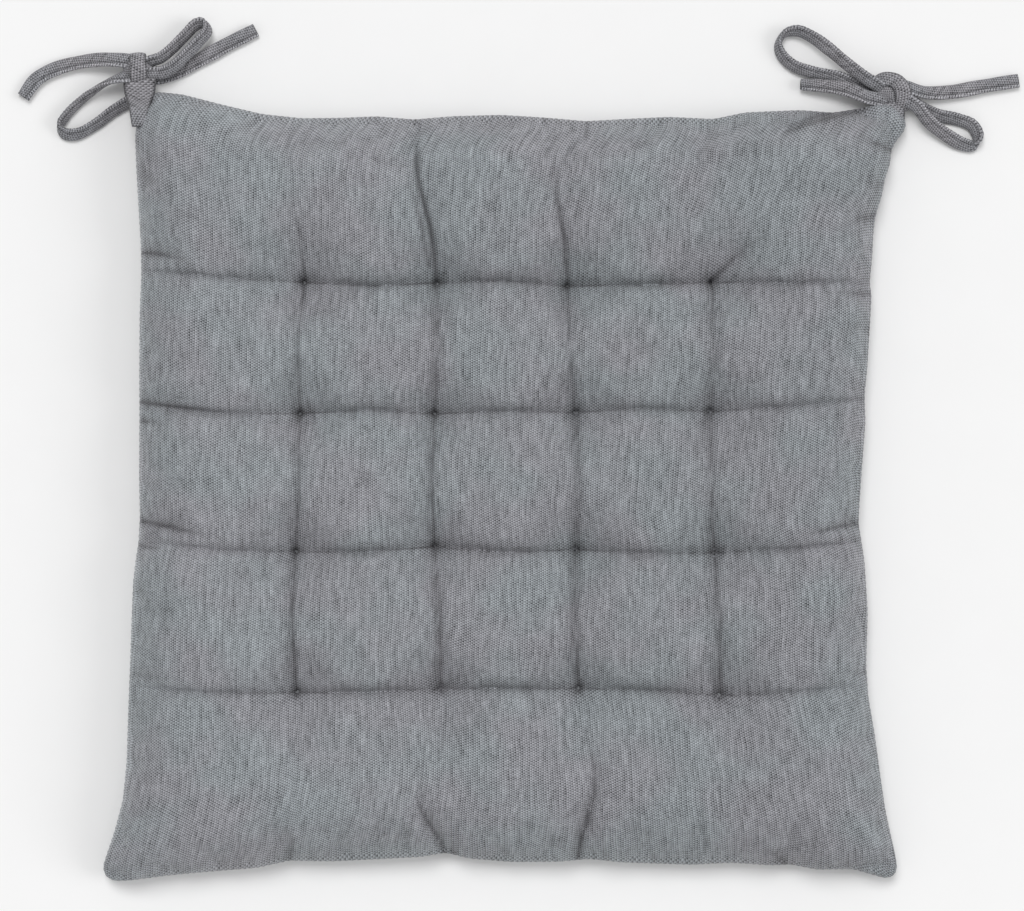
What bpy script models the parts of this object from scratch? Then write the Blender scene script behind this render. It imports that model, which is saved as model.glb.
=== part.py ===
"""A tufted square chair seat pad with a bow of cloth ties at each back corner.

The pad lies on its flat underside at Z = 0, centred on the origin, with its back edge towards +Y.
Two cloth panels meet at a plain edge seam round a fibre filling, and 16 tuft stitches pull the
panels together. Each bow is two ties: their stems leave the corner seam, cross in a knot and end
in two loops and two tails.
"""

import math

import bmesh
import bpy
import numpy as np
from mathutils import Vector

MM = 0.001

# Overall size of the pad, all in millimetres.
PAD_FRONT_WIDTH = 396.0
PAD_DEPTH = 387.0
PAD_HEIGHT = 40.0
BACK_LEFT_INSET = 15.0
BACK_RIGHT_INSET = 1.0
BACK_RIGHT_DROP = 7.0

# How far each edge pulls in at its middle, and how suddenly the corners flare out again.
LEFT_PULL = 10.0
RIGHT_PULL = 17.5
BACK_PULL = 5.0
FRONT_PULL = 9.0
FLARE_POWER = 4.0

# The seam's height above the table, and the reach of the rounded edge above and below it.
SEAM_HEIGHT = 14.0
TOP_EDGE_REACH = 38.0
UNDER_EDGE_REACH = 26.0

# The cloth, the seam thread and the gap that keeps neighbours apart.
CLOTH = 1.2
SEAM_THREAD = 1.0
GAP = 0.3

# The tufts: four rows of four, their pitch and the shift of the pattern from the pad's middle.
TUFTS_PER_ROW = 4
TUFT_PITCH_X = 68.6
TUFT_PITCH_Y = 67.8
TUFT_SHIFT_X = 2.2
TUFT_SHIFT_Y = 2.4
TUFT_TOP = 22.0
TUFT_UNDER = 3.0
TUFT_FLAT = 5.0
CREASE_SHARE = 0.7
SWELL_POWER = 0.8
ON_FLAT = 0.001

# The tuft stitches.
THREAD_RADIUS = 0.6
STITCH_HOLE_HALF = 0.95
STITCH_HEAD_RADIUS = 1.4
STITCH_HEAD_HEIGHT = 0.9
STITCH_SIDES = 6

# The ties: cloth tape, drawn here as a round cord of about the same section.
TIE_DIAMETER = 5.0
TIE_POINT_SPACING = 8.0
TIE_BEVEL_RESOLUTION = 2
STEM_THICKNESS = 2.4
STEM_ROOT_WIDTH = 3.4
STEM_KNOT_HEIGHT = 9.3
STEM_ARC_STEPS = 6
KNOT_HEIGHT = 13.0
KNOT_BEVEL = 2.4

# Each bow: the knot's plan size, its centre counted from its corner of the pad, and the ties'
# routes. A route's points are (outwards from the knot's side, backwards from its front, the height
# of the tie's underside above the table), both counted from a line a tie's radius clear of the
# knot, so that a larger knot or a thicker tie pushes the routes out. A route starts and ends
# nearly square to the knot, just clear of it.
LEFT_BOW = {
    "knot_size": (14.0, 15.0),
    "knot_from_corner": (0.5, 18.0),
    "routes": {
        "loop_left": [
            (-1.6, 5.2, 6.8), (2.5, 4.1, 6.7), (9.5, 1.1, 4.3), (19.0, -5.3, 1.1),
            (26.8, -13.2, 0.3), (29.8, -18.5, 0.3), (27.6, -22.1, 0.3), (21.8, -22.6, 0.3),
            (11.7, -17.4, 0.3), (3.6, -11.2, 0.3), (-2.5, -7.4, 0.3), (-6.3, -4.8, 0.3),
            (-7.9, -1.8, 0.4), (-8.0, 1.5, 0.5),
        ],
        "loop_right": [
            (-1.6, 14.1, 6.5), (2.0, 15.3, 6.5), (8.0, 20.2, 5.5), (14.0, 26.5, 4.5),
            (20.0, 32.5, 3.5), (24.0, 32.9, 3.5), (25.4, 29.5, 4.5), (21.0, 23.5, 6.5),
            (14.5, 16.5, 7.5), (8.0, 10.4, 7.7), (2.5, 7.9, 7.7), (-1.6, 7.7, 7.7),
        ],
        "tail_left": [
            (-1.8, 14.1, 7.0), (1.5, 14.3, 6.8), (9.0, 14.6, 4.5), (20.5, 13.4, 1.5),
            (33.0, 10.0, 0.3), (42.0, 4.8, 0.3), (48.4, -3.9, 0.3),
        ],
        "tail_right": [
            (-1.8, 6.2, 0.8), (1.5, 6.2, 0.5), (8.3, 8.1, 0.3), (21.9, 15.2, 0.3),
            (34.9, 22.4, 0.3), (49.6, 29.9, 0.3),
        ],
    },
}
RIGHT_BOW = {
    "knot_size": (15.0, 14.0),
    "knot_from_corner": (-1.3, 13.0),
    "routes": {
        "loop_left": [
            (-1.6, 13.7, 7.5), (2.0, 15.8, 7.5), (12.0, 23.3, 6.5), (21.0, 31.0, 5.0),
            (29.7, 37.5, 3.5), (37.2, 40.8, 2.5), (43.7, 39.3, 1.5), (46.5, 34.0, 1.0),
            (44.7, 28.5, 1.0), (38.7, 23.2, 1.5), (30.5, 20.3, 1.9), (16.5, 17.5, 1.5),
            (5.0, 12.4, 1.1), (1.5, 10.9, 0.9), (-1.8, 10.5, 0.9),
        ],
        "loop_right": [
            (-1.6, 5.0, 6.8), (2.2, 2.6, 6.6), (8.5, -4.7, 4.5), (16.8, -11.0, 2.5),
            (25.8, -16.0, 1.0), (31.9, -16.6, 0.5), (33.7, -12.0, 0.5), (30.6, -6.4, 0.5),
            (22.8, -3.4, 0.5), (13.3, -1.4, 0.5), (3.5, 3.4, 0.7), (1.0, 4.9, 0.8),
            (-1.8, 5.6, 0.8),
        ],
        "tail_left": [
            (-1.6, 6.2, 7.3), (2.5, 7.0, 7.3), (12.0, 10.9, 6.5), (25.7, 13.2, 3.5),
            (35.4, 13.9, 1.0),
        ],
        "tail_right": [
            (-1.5, 11.7, 5.3), (2.0, 10.7, 4.8), (8.5, 9.6, 2.3), (22.0, 10.4, 0.5),
            (36.0, 13.0, 0.3), (49.5, 15.2, 0.3), (54.1, 15.9, 0.3),
        ],
    },
}

# Worked out from the sizes above.
HALF_WIDTH = PAD_FRONT_WIDTH / 2
HALF_DEPTH = PAD_DEPTH / 2
BACK_LEFT_CORNER = (-HALF_WIDTH + BACK_LEFT_INSET, HALF_DEPTH)
BACK_RIGHT_CORNER = (HALF_WIDTH - BACK_RIGHT_INSET, HALF_DEPTH - BACK_RIGHT_DROP)
RIM_HALF_GAP = SEAM_THREAD / 2 + GAP
TIE_RADIUS = TIE_DIAMETER / 2
# The seam droops into the corners to where a tie on the table just passes under the stems.
CORNER_SEAM_HEIGHT = TIE_DIAMETER + GAP + STEM_THICKNESS / 2


def clear_scene():
    """Remove every object that the scene starts with."""
    for old in list(bpy.data.objects):
        bpy.data.objects.remove(old, do_unlink=True)


def make_material(name, color, roughness, metallic=0.0):
    """A Principled material of one colour."""
    material = bpy.data.materials.new(name)
    material.use_nodes = True
    shader = material.node_tree.nodes["Principled BSDF"]
    shader.inputs["Base Color"].default_value = (*color, 1.0)
    shader.inputs["Roughness"].default_value = roughness
    shader.inputs["Metallic"].default_value = metallic
    return material


def add_mesh(name, points, faces, material):
    """A mesh object from points in millimetres."""
    mesh = bpy.data.meshes.new(name)
    mesh.from_pydata([Vector(point) * MM for point in points], [], faces)
    mesh.update()
    mesh.materials.append(material)
    made = bpy.data.objects.new(name, mesh)
    bpy.context.scene.collection.objects.link(made)
    return made


def shade_round(made, angle_degrees=50.0):
    """Smooth shading, with edges sharper than the angle left sharp."""
    made.data.shade_smooth()
    made.data.set_sharp_from_angle(angle=math.radians(angle_degrees))


# --- The pad's shape -----------------------------------------------------------------------


def plan(u, v, inset=0.0):
    """The point at (u, v), each from -1 to 1, of the pad's outline in plan moved in by inset.

    Each side is a straight line between its corners, pulled in by its own amount where
    1 - |t| ** FLARE_POWER is 1, and the inside is a straight blend of opposite sides.
    """
    back_x = (BACK_LEFT_CORNER[0], BACK_RIGHT_CORNER[0])
    back_y = (BACK_LEFT_CORNER[1], BACK_RIGHT_CORNER[1])
    across = (u + 1) / 2
    along = (v + 1) / 2
    slack_v = 1 - abs(v) ** FLARE_POWER
    slack_u = 1 - abs(u) ** FLARE_POWER
    left = -HALF_WIDTH + (back_x[0] + HALF_WIDTH) * along + LEFT_PULL * slack_v + inset
    right = HALF_WIDTH + (back_x[1] - HALF_WIDTH) * along - RIGHT_PULL * slack_v - inset
    front = -HALF_DEPTH + FRONT_PULL * slack_u + inset
    back = back_y[0] + (back_y[1] - back_y[0]) * across - BACK_PULL * slack_u - inset
    return left + (right - left) * across, front + (back - front) * along


def tuft_parameters(pitch, shift, low_edge, high_edge):
    """The tufts' places from -1 to 1 between two opposite edges, measured at the pad's middle."""
    middle = (low_edge + high_edge) / 2
    half = (high_edge - low_edge) / 2
    first = -(TUFTS_PER_ROW - 1) / 2
    return [(shift + (first + i) * pitch - middle) / half for i in range(TUFTS_PER_ROW)]


LEFT_EDGE = plan(-1, 0)[0]
RIGHT_EDGE = plan(1, 0)[0]
FRONT_EDGE = plan(0, -1)[1]
BACK_EDGE = plan(0, 1)[1]
HALF_MID_WIDTH = (RIGHT_EDGE - LEFT_EDGE) / 2
HALF_MID_DEPTH = (BACK_EDGE - FRONT_EDGE) / 2
TUFT_U = tuft_parameters(TUFT_PITCH_X, TUFT_SHIFT_X, LEFT_EDGE, RIGHT_EDGE)
TUFT_V = tuft_parameters(TUFT_PITCH_Y, TUFT_SHIFT_Y, FRONT_EDGE, BACK_EDGE)


def seam_height(u, v):
    """The seam's height: level along the sides, drooping into each corner and level again there."""
    droop = math.sin(math.pi / 2 * (abs(u) * abs(v)) ** FLARE_POWER) ** 2
    return SEAM_HEIGHT + (CORNER_SEAM_HEIGHT - SEAM_HEIGHT) * droop


def rim_lift(inset):
    """How far a surface's rim stays from the seam's middle: less for the filling, inside the cloth."""
    return RIM_HALF_GAP - max(inset - CLOTH, 0.0)


def rounded(t, half_size, reach):
    """A quarter ellipse that rises from 0 at the edge, |t| = 1, to 1 at reach from it."""
    distance = min((1 - abs(t)) * half_size / reach, 1.0)
    return math.sqrt(1 - (1 - distance) ** 2)


def from_tuft(t, tufts, half_size, pitch):
    """0 on the flat round a tuft line, rising to 1 half a pitch away."""
    distance = min(abs(t - tuft) for tuft in tufts) * half_size
    share = (distance - TUFT_FLAT) / (pitch / 2 - TUFT_FLAT)
    return math.sin(math.pi / 2 * min(max(share, 0.0), 1.0)) ** SWELL_POWER


def top_height(u, v, inset):
    """Swollen cells between the tufts, falling in a rounded edge to the seam."""
    rise_u = from_tuft(u, TUFT_U, HALF_MID_WIDTH, TUFT_PITCH_X)
    rise_v = from_tuft(v, TUFT_V, HALF_MID_DEPTH, TUFT_PITCH_Y)
    either = 1 - (1 - rise_u) * (1 - rise_v)
    swell = CREASE_SHARE * either + (1 - CREASE_SHARE) * rise_u * rise_v
    crown = TUFT_TOP + (PAD_HEIGHT - TUFT_TOP) * swell - inset
    edge = rounded(u, HALF_MID_WIDTH, TOP_EDGE_REACH) * rounded(v, HALF_MID_DEPTH, TOP_EDGE_REACH)
    rim = seam_height(u, v) + rim_lift(inset)
    return rim + (crown - rim) * edge


def under_height(u, v, inset):
    """Flat on the table, with a shallow dimple at each tuft and a rounded edge up to the seam."""
    rise_u = from_tuft(u, TUFT_U, HALF_MID_WIDTH, TUFT_PITCH_X)
    rise_v = from_tuft(v, TUFT_V, HALF_MID_DEPTH, TUFT_PITCH_Y)
    dimple = TUFT_UNDER if max(rise_u, rise_v) < ON_FLAT else 0.0
    edge = rounded(u, HALF_MID_WIDTH, UNDER_EDGE_REACH)
    edge *= rounded(v, HALF_MID_DEPTH, UNDER_EDGE_REACH)
    base = inset + dimple
    rim = seam_height(u, v) - rim_lift(inset)
    return base + (rim - base) * (1 - edge)


def grid_lines(tufts, half_size):
    """Grid places from -1 to 1: either side of each tuft's flat, between, and close to the edge."""
    flat = TUFT_FLAT / half_size
    lines = []
    for tuft in tufts:
        lines += [tuft - flat, tuft + flat]
    for left, right in zip(tufts, tufts[1:]):
        free = right - left - 2 * flat
        lines += [left + flat + free / 3, left + flat + free * 2 / 3]
    for share in (0.0, 0.08, 0.3, 0.74, 1.5):
        away = share * TOP_EDGE_REACH / half_size
        lines += [-1 + away, 1 - away]
    return sorted(lines)


LINES_U = grid_lines(TUFT_U, HALF_MID_WIDTH)
LINES_V = grid_lines(TUFT_V, HALF_MID_DEPTH)


def tuft_cells():
    """The grid cells that hold a tuft, as (row, column), with the tuft's point in plan."""
    for v in TUFT_V:
        row = sum(line < v for line in LINES_V) - 1
        for u in TUFT_U:
            column = sum(line < u for line in LINES_U) - 1
            yield row, column, plan(u, v)


def surface_points(height, inset):
    """The grid's points on one surface, row by row from the front, then each stitch hole's four."""
    points = [(*plan(u, v, inset), height(u, v, inset)) for v in LINES_V for u in LINES_U]
    half = STITCH_HOLE_HALF
    for row, column, (x, y) in tuft_cells():
        flat = height(LINES_U[column], LINES_V[row], inset)
        points += [(x - half, y - half, flat), (x + half, y - half, flat)]
        points += [(x + half, y + half, flat), (x - half, y + half, flat)]
    return points


def hole_loops(start):
    """Each stitch hole's four vertices, anticlockwise seen from above."""
    first = start + len(LINES_U) * len(LINES_V)
    return [[first + 4 * i + corner for corner in range(4)] for i in range(TUFTS_PER_ROW**2)]


def surface_faces(start, facing_up):
    """The grid's triangles, counted from vertex start, every cell split along the same diagonal.

    A cell with a stitch hole is four trapeziums round the hole instead.
    """
    columns = len(LINES_U)
    holes = {(row, column): i for i, (row, column, _) in enumerate(tuft_cells())}
    loops = hole_loops(start)
    faces = []
    for row in range(len(LINES_V) - 1):
        for column in range(columns - 1):
            near = start + row * columns + column
            corners = (near, near + 1, near + 1 + columns, near + columns)
            if (row, column) in holes:
                hole = loops[holes[row, column]]
                found = []
                for i in range(4):
                    j = (i + 1) % 4
                    found.append((corners[i], corners[j], hole[j], hole[i]))
            else:
                found = [corners[:3], (corners[0], corners[2], corners[3])]
            faces += found if facing_up else [face[::-1] for face in found]
    return faces


def rim_loop(start):
    """The grid's border vertices, anticlockwise seen from above."""
    columns, rows = len(LINES_U), len(LINES_V)
    front = [start + i for i in range(columns - 1)]
    right = [start + i * columns + columns - 1 for i in range(rows - 1)]
    back = [start + (rows - 1) * columns + i for i in range(columns - 1, 0, -1)]
    left = [start + i * columns for i in range(rows - 1, 0, -1)]
    return front + right + back + left


def between_loops(upper, lower):
    """Quads that close the wall between two border loops, facing outwards."""
    count = len(upper)
    return [
        (lower[i], lower[(i + 1) % count], upper[(i + 1) % count], upper[i]) for i in range(count)
    ]


def closed_layer(name, upper, lower, material):
    """A solid between an upper and a lower surface that share the grid and the stitch holes."""
    points = upper + lower
    count = len(upper)
    faces = surface_faces(0, True) + surface_faces(count, False)
    faces += between_loops(rim_loop(0), rim_loop(count))
    for above, below in zip(hole_loops(0), hole_loops(count)):
        faces += between_loops(above[::-1], below[::-1])
    made = add_mesh(name, points, faces, material)
    shade_round(made)


def make_top_panel(material):
    """The upper cloth, its raw edge turned down to the seam."""
    outer = surface_points(top_height, 0.0)
    inner = surface_points(top_height, CLOTH)
    closed_layer("top_panel", outer, inner, material)


def make_bottom_panel(material):
    """The lower cloth, flat where the pad rests."""
    inner = surface_points(under_height, CLOTH)
    outer = surface_points(under_height, 0.0)
    closed_layer("bottom_panel", inner, outer, material)


def make_filling(material):
    """The fibre that fills the space between the panels."""
    inset = CLOTH + GAP
    upper = surface_points(top_height, inset)
    lower = surface_points(under_height, inset)
    closed_layer("filling", upper, lower, material)


def make_edge_seam(material):
    """A thin band of thread between the panels' rims, as wide as the cloth is thick."""
    border = [(u, -1.0) for u in LINES_U[:-1]]
    border += [(1.0, v) for v in LINES_V[:-1]]
    border += [(u, 1.0) for u in LINES_U[:0:-1]]
    border += [(-1.0, v) for v in LINES_V[:0:-1]]
    count = len(border)
    rings = []
    for inset, side in ((0.0, -1), (0.0, 1), (CLOTH, 1), (CLOTH, -1)):
        lift = side * SEAM_THREAD / 2
        rings.append([(*plan(u, v, inset), seam_height(u, v) + lift) for u, v in border])
    points = [point for ring in rings for point in ring]
    faces = []
    for ring in range(4):
        following = (ring + 1) % 4
        for i in range(count):
            j = (i + 1) % count
            here, there = ring * count, following * count
            faces.append((here + i, here + j, there + j, there + i))
    add_mesh("edge_seam", points, faces, material)


# --- Tuft stitches -------------------------------------------------------------------------


def tuft_places():
    """Each tuft's row and column from the back left, with its point in plan."""
    for row, v in enumerate(reversed(TUFT_V), start=1):
        for column, u in enumerate(TUFT_U, start=1):
            yield row, column, plan(u, v)


def turned_points(profile, x, y):
    """The profile's radii and heights turned about the upright line through (x, y)."""
    return [
        (x + radius * math.cos(angle), y + radius * math.sin(angle), height)
        for radius, height in profile
        for angle in (2 * math.pi * i / STITCH_SIDES for i in range(STITCH_SIDES))
    ]


def turned_faces(rings):
    """Quads between the rings of a turned solid, with a flat cap at each end."""
    faces = [tuple(reversed(range(STITCH_SIDES)))]
    for ring in range(rings - 1):
        for i in range(STITCH_SIDES):
            j = (i + 1) % STITCH_SIDES
            low = ring * STITCH_SIDES
            high = low + STITCH_SIDES
            faces.append((low + i, low + j, high + j, high + i))
    top = (rings - 1) * STITCH_SIDES
    faces.append(tuple(range(top, top + STITCH_SIDES)))
    return faces


def make_stitch(row, column, place, material):
    """One tuft stitch: a thread through the pad with a small knotted head at each end."""
    low = TUFT_UNDER - GAP
    high = TUFT_TOP + GAP
    flat = STITCH_HEAD_RADIUS * 0.6
    half_head = STITCH_HEAD_HEIGHT / 2
    profile = [
        (flat, low - STITCH_HEAD_HEIGHT),
        (STITCH_HEAD_RADIUS, low - half_head),
        (STITCH_HEAD_RADIUS, low),
        (THREAD_RADIUS, low),
        (THREAD_RADIUS, high),
        (STITCH_HEAD_RADIUS, high),
        (STITCH_HEAD_RADIUS, high + half_head),
        (flat, high + STITCH_HEAD_HEIGHT),
    ]
    name = f"tuft_stitch_{row}{column}"
    made = add_mesh(name, turned_points(profile, *place), turned_faces(len(profile)), material)
    shade_round(made)


# --- Bows ----------------------------------------------------------------------------------


def smooth_route(route, spacing):
    """Points about spacing apart on a centripetal Catmull-Rom curve through the route."""
    stops = np.array(route)
    stops = np.vstack([2 * stops[0] - stops[1], stops, 2 * stops[-1] - stops[-2]])
    knots = np.concatenate([[0], np.cumsum(np.linalg.norm(np.diff(stops, axis=0), axis=1) ** 0.5)])
    fine = []
    for i in range(1, len(stops) - 2):
        t0, t1, t2, t3 = knots[i - 1 : i + 3]
        p0, p1, p2, p3 = stops[i - 1 : i + 3]
        for t in np.linspace(t1, t2, 12, endpoint=False):
            a1 = ((t1 - t) * p0 + (t - t0) * p1) / (t1 - t0)
            a2 = ((t2 - t) * p1 + (t - t1) * p2) / (t2 - t1)
            a3 = ((t3 - t) * p2 + (t - t2) * p3) / (t3 - t2)
            b1 = ((t2 - t) * a1 + (t - t0) * a2) / (t2 - t0)
            b2 = ((t3 - t) * a2 + (t - t1) * a3) / (t3 - t1)
            fine.append(((t2 - t) * b1 + (t - t1) * b2) / (t2 - t1))
    fine = np.array([*fine, stops[-2]])
    run = np.concatenate([[0], np.cumsum(np.linalg.norm(np.diff(fine, axis=0), axis=1))])
    steps = np.linspace(0, run[-1], max(round(run[-1] / spacing), 2) + 1)
    return np.column_stack([np.interp(steps, run, fine[:, axis]) for axis in range(3)])


def make_tie_run(name, route, hinge, material):
    """One run of a tie as a round cord with closed ends, its origin on the hinge."""
    points = smooth_route(route, TIE_POINT_SPACING)
    curve = bpy.data.curves.new(name, "CURVE")
    curve.dimensions = "3D"
    curve.bevel_depth = TIE_RADIUS * MM
    curve.bevel_resolution = TIE_BEVEL_RESOLUTION
    curve.use_fill_caps = True
    spline = curve.splines.new("POLY")
    spline.points.add(len(points) - 1)
    for stop, point in zip(spline.points, points):
        stop.co = (*((Vector(point) - hinge) * MM), 1.0)
    curve.materials.append(material)
    made = bpy.data.objects.new(name, curve)
    bpy.context.scene.collection.objects.link(made)
    return made


def make_knot(name, centre, size, hinge, material):
    """The knot as a block with rounded edges that stands on the table."""
    mesh = bpy.data.meshes.new(name)
    shape = bmesh.new()
    bmesh.ops.create_cube(shape, size=1.0)
    for corner in shape.verts:
        stretched = [corner.co[axis] * extent for axis, extent in enumerate((*size, KNOT_HEIGHT))]
        corner.co = (Vector(stretched) + centre - hinge) * MM
    shape.to_mesh(mesh)
    shape.free()
    mesh.materials.append(material)
    made = bpy.data.objects.new(name, mesh)
    bpy.context.scene.collection.objects.link(made)
    bevel = made.modifiers.new("rounded edges", "BEVEL")
    bevel.width = KNOT_BEVEL * MM
    bevel.segments = 2
    return made


def make_stem(name, root_x, knot_x, knot_front, hinge, material):
    """A tie's stem from the corner seam up to the knot.

    Seen from the side it is a half circle about the hinge that widens into a straight strap, and
    seen from above its two sides run straight from root_x to knot_x.
    """
    half = STEM_THICKNESS / 2
    length = knot_front - hinge.y
    climb = STEM_KNOT_HEIGHT - hinge.z
    side = [(0.0, half)]
    for step in range(1, STEM_ARC_STEPS):
        angle = math.pi / 2 + math.pi * step / STEM_ARC_STEPS
        side.append((half * math.cos(angle), half * math.sin(angle)))
    side += [(0.0, -half), (length, climb - half), (length, climb + half)]
    points = []
    for edge in (0, 1):
        for y, z in side:
            share = y / length
            x = root_x[edge] + (knot_x[edge] - root_x[edge]) * share - hinge.x
            points.append((x, y, z))
    count = len(side)
    faces = [tuple(reversed(range(count))), tuple(range(count, 2 * count))]
    for i in range(count):
        j = (i + 1) % count
        faces.append((i, j, count + j, count + i))
    return add_mesh(name, points, faces, material)


def make_bow(side, corner, bow, material):
    """One tied bow: two stems, the knot, two loops and two tails on the corner's fold line."""
    fold = bpy.data.objects.new(f"{side}_bow_fold", None)
    bpy.context.scene.collection.objects.link(fold)
    hinge = Vector((corner[0], corner[1] + GAP + STEM_THICKNESS / 2, CORNER_SEAM_HEIGHT))
    fold.location = hinge * MM
    offset = bow["knot_from_corner"]
    centre = Vector((corner[0] + offset[0], corner[1] + offset[1], KNOT_HEIGHT / 2))
    half_x, half_y = (extent / 2 for extent in bow["knot_size"])
    pieces = [make_knot(f"{side}_knot", centre, bow["knot_size"], hinge, material)]
    front = centre.y - half_y - GAP
    middle = (hinge.x, centre.x)
    outer = (hinge.x - STEM_ROOT_WIDTH - GAP / 2, centre.x - half_x)
    inner = (hinge.x + STEM_ROOT_WIDTH + GAP / 2, centre.x + half_x)
    near = [x - GAP / 2 for x in middle]
    far = [x + GAP / 2 for x in middle]
    stems = {
        "stem_left": ((outer[0], near[0]), (outer[1], near[1])),
        "stem_right": ((far[0], inner[0]), (far[1], inner[1])),
    }
    for name, (root_x, knot_x) in stems.items():
        pieces.append(make_stem(f"{side}_{name}", root_x, knot_x, front, hinge, material))
    for name, route in bow["routes"].items():
        outwards = -1 if name.endswith("left") else 1
        placed = [
            (
                centre.x + outwards * (half_x + TIE_RADIUS + out),
                centre.y - half_y - TIE_RADIUS + back,
                TIE_RADIUS + under,
            )
            for out, back, under in route
        ]
        pieces.append(make_tie_run(f"{side}_{name}", placed, hinge, material))
    for piece in pieces:
        piece.parent = fold


def main():
    clear_scene()
    cloth = make_material("pad cloth", (0.24, 0.25, 0.265), 0.85)
    fibre = make_material("polyester fibre", (0.86, 0.86, 0.84), 0.95)
    seam_thread = make_material("seam thread", (0.22, 0.23, 0.245), 0.8)
    tuft_thread = make_material("tuft thread", (0.3, 0.31, 0.33), 0.6)
    tape = make_material("tie tape", (0.17, 0.175, 0.185), 0.85)
    make_top_panel(cloth)
    make_bottom_panel(cloth)
    make_filling(fibre)
    make_edge_seam(seam_thread)
    for row, column, place in tuft_places():
        make_stitch(row, column, place, tuft_thread)
    make_bow("left", BACK_LEFT_CORNER, LEFT_BOW, tape)
    make_bow("right", BACK_RIGHT_CORNER, RIGHT_BOW, tape)


main()
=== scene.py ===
"""A tufted square seat pad in heathered grey cloth, with a bow of cloth tape at each back corner.

Every surface is a grid of points worked out by one formula. The pad's plan is blended from its four
edges, and its height is a pillow, a quarter ellipse up from the seam, less dents for the tufts and
the creases, where a dent's depth fades with exp(-distance / reach). A cloth simulation under
pressure then adds slight wrinkles. A tie is one flattened ring carried along its route, its wide
side turned to a direction that leans the tape over.
"""

import math

import bpy
import numpy as np
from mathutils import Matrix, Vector


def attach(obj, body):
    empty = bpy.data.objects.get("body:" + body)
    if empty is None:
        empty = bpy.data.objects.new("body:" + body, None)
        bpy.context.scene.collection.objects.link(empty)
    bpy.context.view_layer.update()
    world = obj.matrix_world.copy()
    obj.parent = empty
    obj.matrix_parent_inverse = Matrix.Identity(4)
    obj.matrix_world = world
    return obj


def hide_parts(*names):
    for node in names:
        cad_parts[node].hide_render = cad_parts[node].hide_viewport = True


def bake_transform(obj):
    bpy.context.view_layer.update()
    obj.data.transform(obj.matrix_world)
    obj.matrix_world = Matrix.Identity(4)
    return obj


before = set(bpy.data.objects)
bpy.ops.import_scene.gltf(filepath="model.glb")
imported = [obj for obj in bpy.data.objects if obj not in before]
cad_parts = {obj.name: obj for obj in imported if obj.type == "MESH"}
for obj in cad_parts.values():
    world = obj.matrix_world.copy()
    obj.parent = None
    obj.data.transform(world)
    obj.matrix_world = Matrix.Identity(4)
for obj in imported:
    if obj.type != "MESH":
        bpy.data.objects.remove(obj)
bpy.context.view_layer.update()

MM = 0.001
rng = np.random.default_rng(7)

# --- Camera ----------------------------------------------------------------------------------

SENSOR = 36.0
CAMERA_HEIGHT = 2.2
VIEW_CENTRE = (0.00525, 0.0175)
VIEW_WIDTH = 0.512
VIEW_LEVEL = 0.014


def make_camera():
    """A camera that looks straight down with the pad's back edge at the top."""
    data = bpy.data.cameras.new("camera")
    data.sensor_width = SENSOR
    data.lens = SENSOR * (CAMERA_HEIGHT - VIEW_LEVEL) / VIEW_WIDTH
    camera = bpy.data.objects.new("camera", data)
    camera.location = (*VIEW_CENTRE, CAMERA_HEIGHT)
    bpy.context.scene.collection.objects.link(camera)
    bpy.context.scene.camera = camera


# --- Shader sums -----------------------------------------------------------------------------


class Sum:
    """A number in a shader. Arithmetic with another one, or a plain number, makes a Math node."""

    def __init__(self, kit, socket):
        self.kit = kit
        self.socket = socket

    def __add__(self, other):
        return self.kit.maths("ADD", self, other)

    def __radd__(self, other):
        return self.kit.maths("ADD", other, self)

    def __sub__(self, other):
        return self.kit.maths("SUBTRACT", self, other)

    def __rsub__(self, other):
        return self.kit.maths("SUBTRACT", other, self)

    def __mul__(self, other):
        return self.kit.maths("MULTIPLY", self, other)

    def __rmul__(self, other):
        return self.kit.maths("MULTIPLY", other, self)

    def __truediv__(self, other):
        return self.kit.maths("DIVIDE", self, other)


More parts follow.
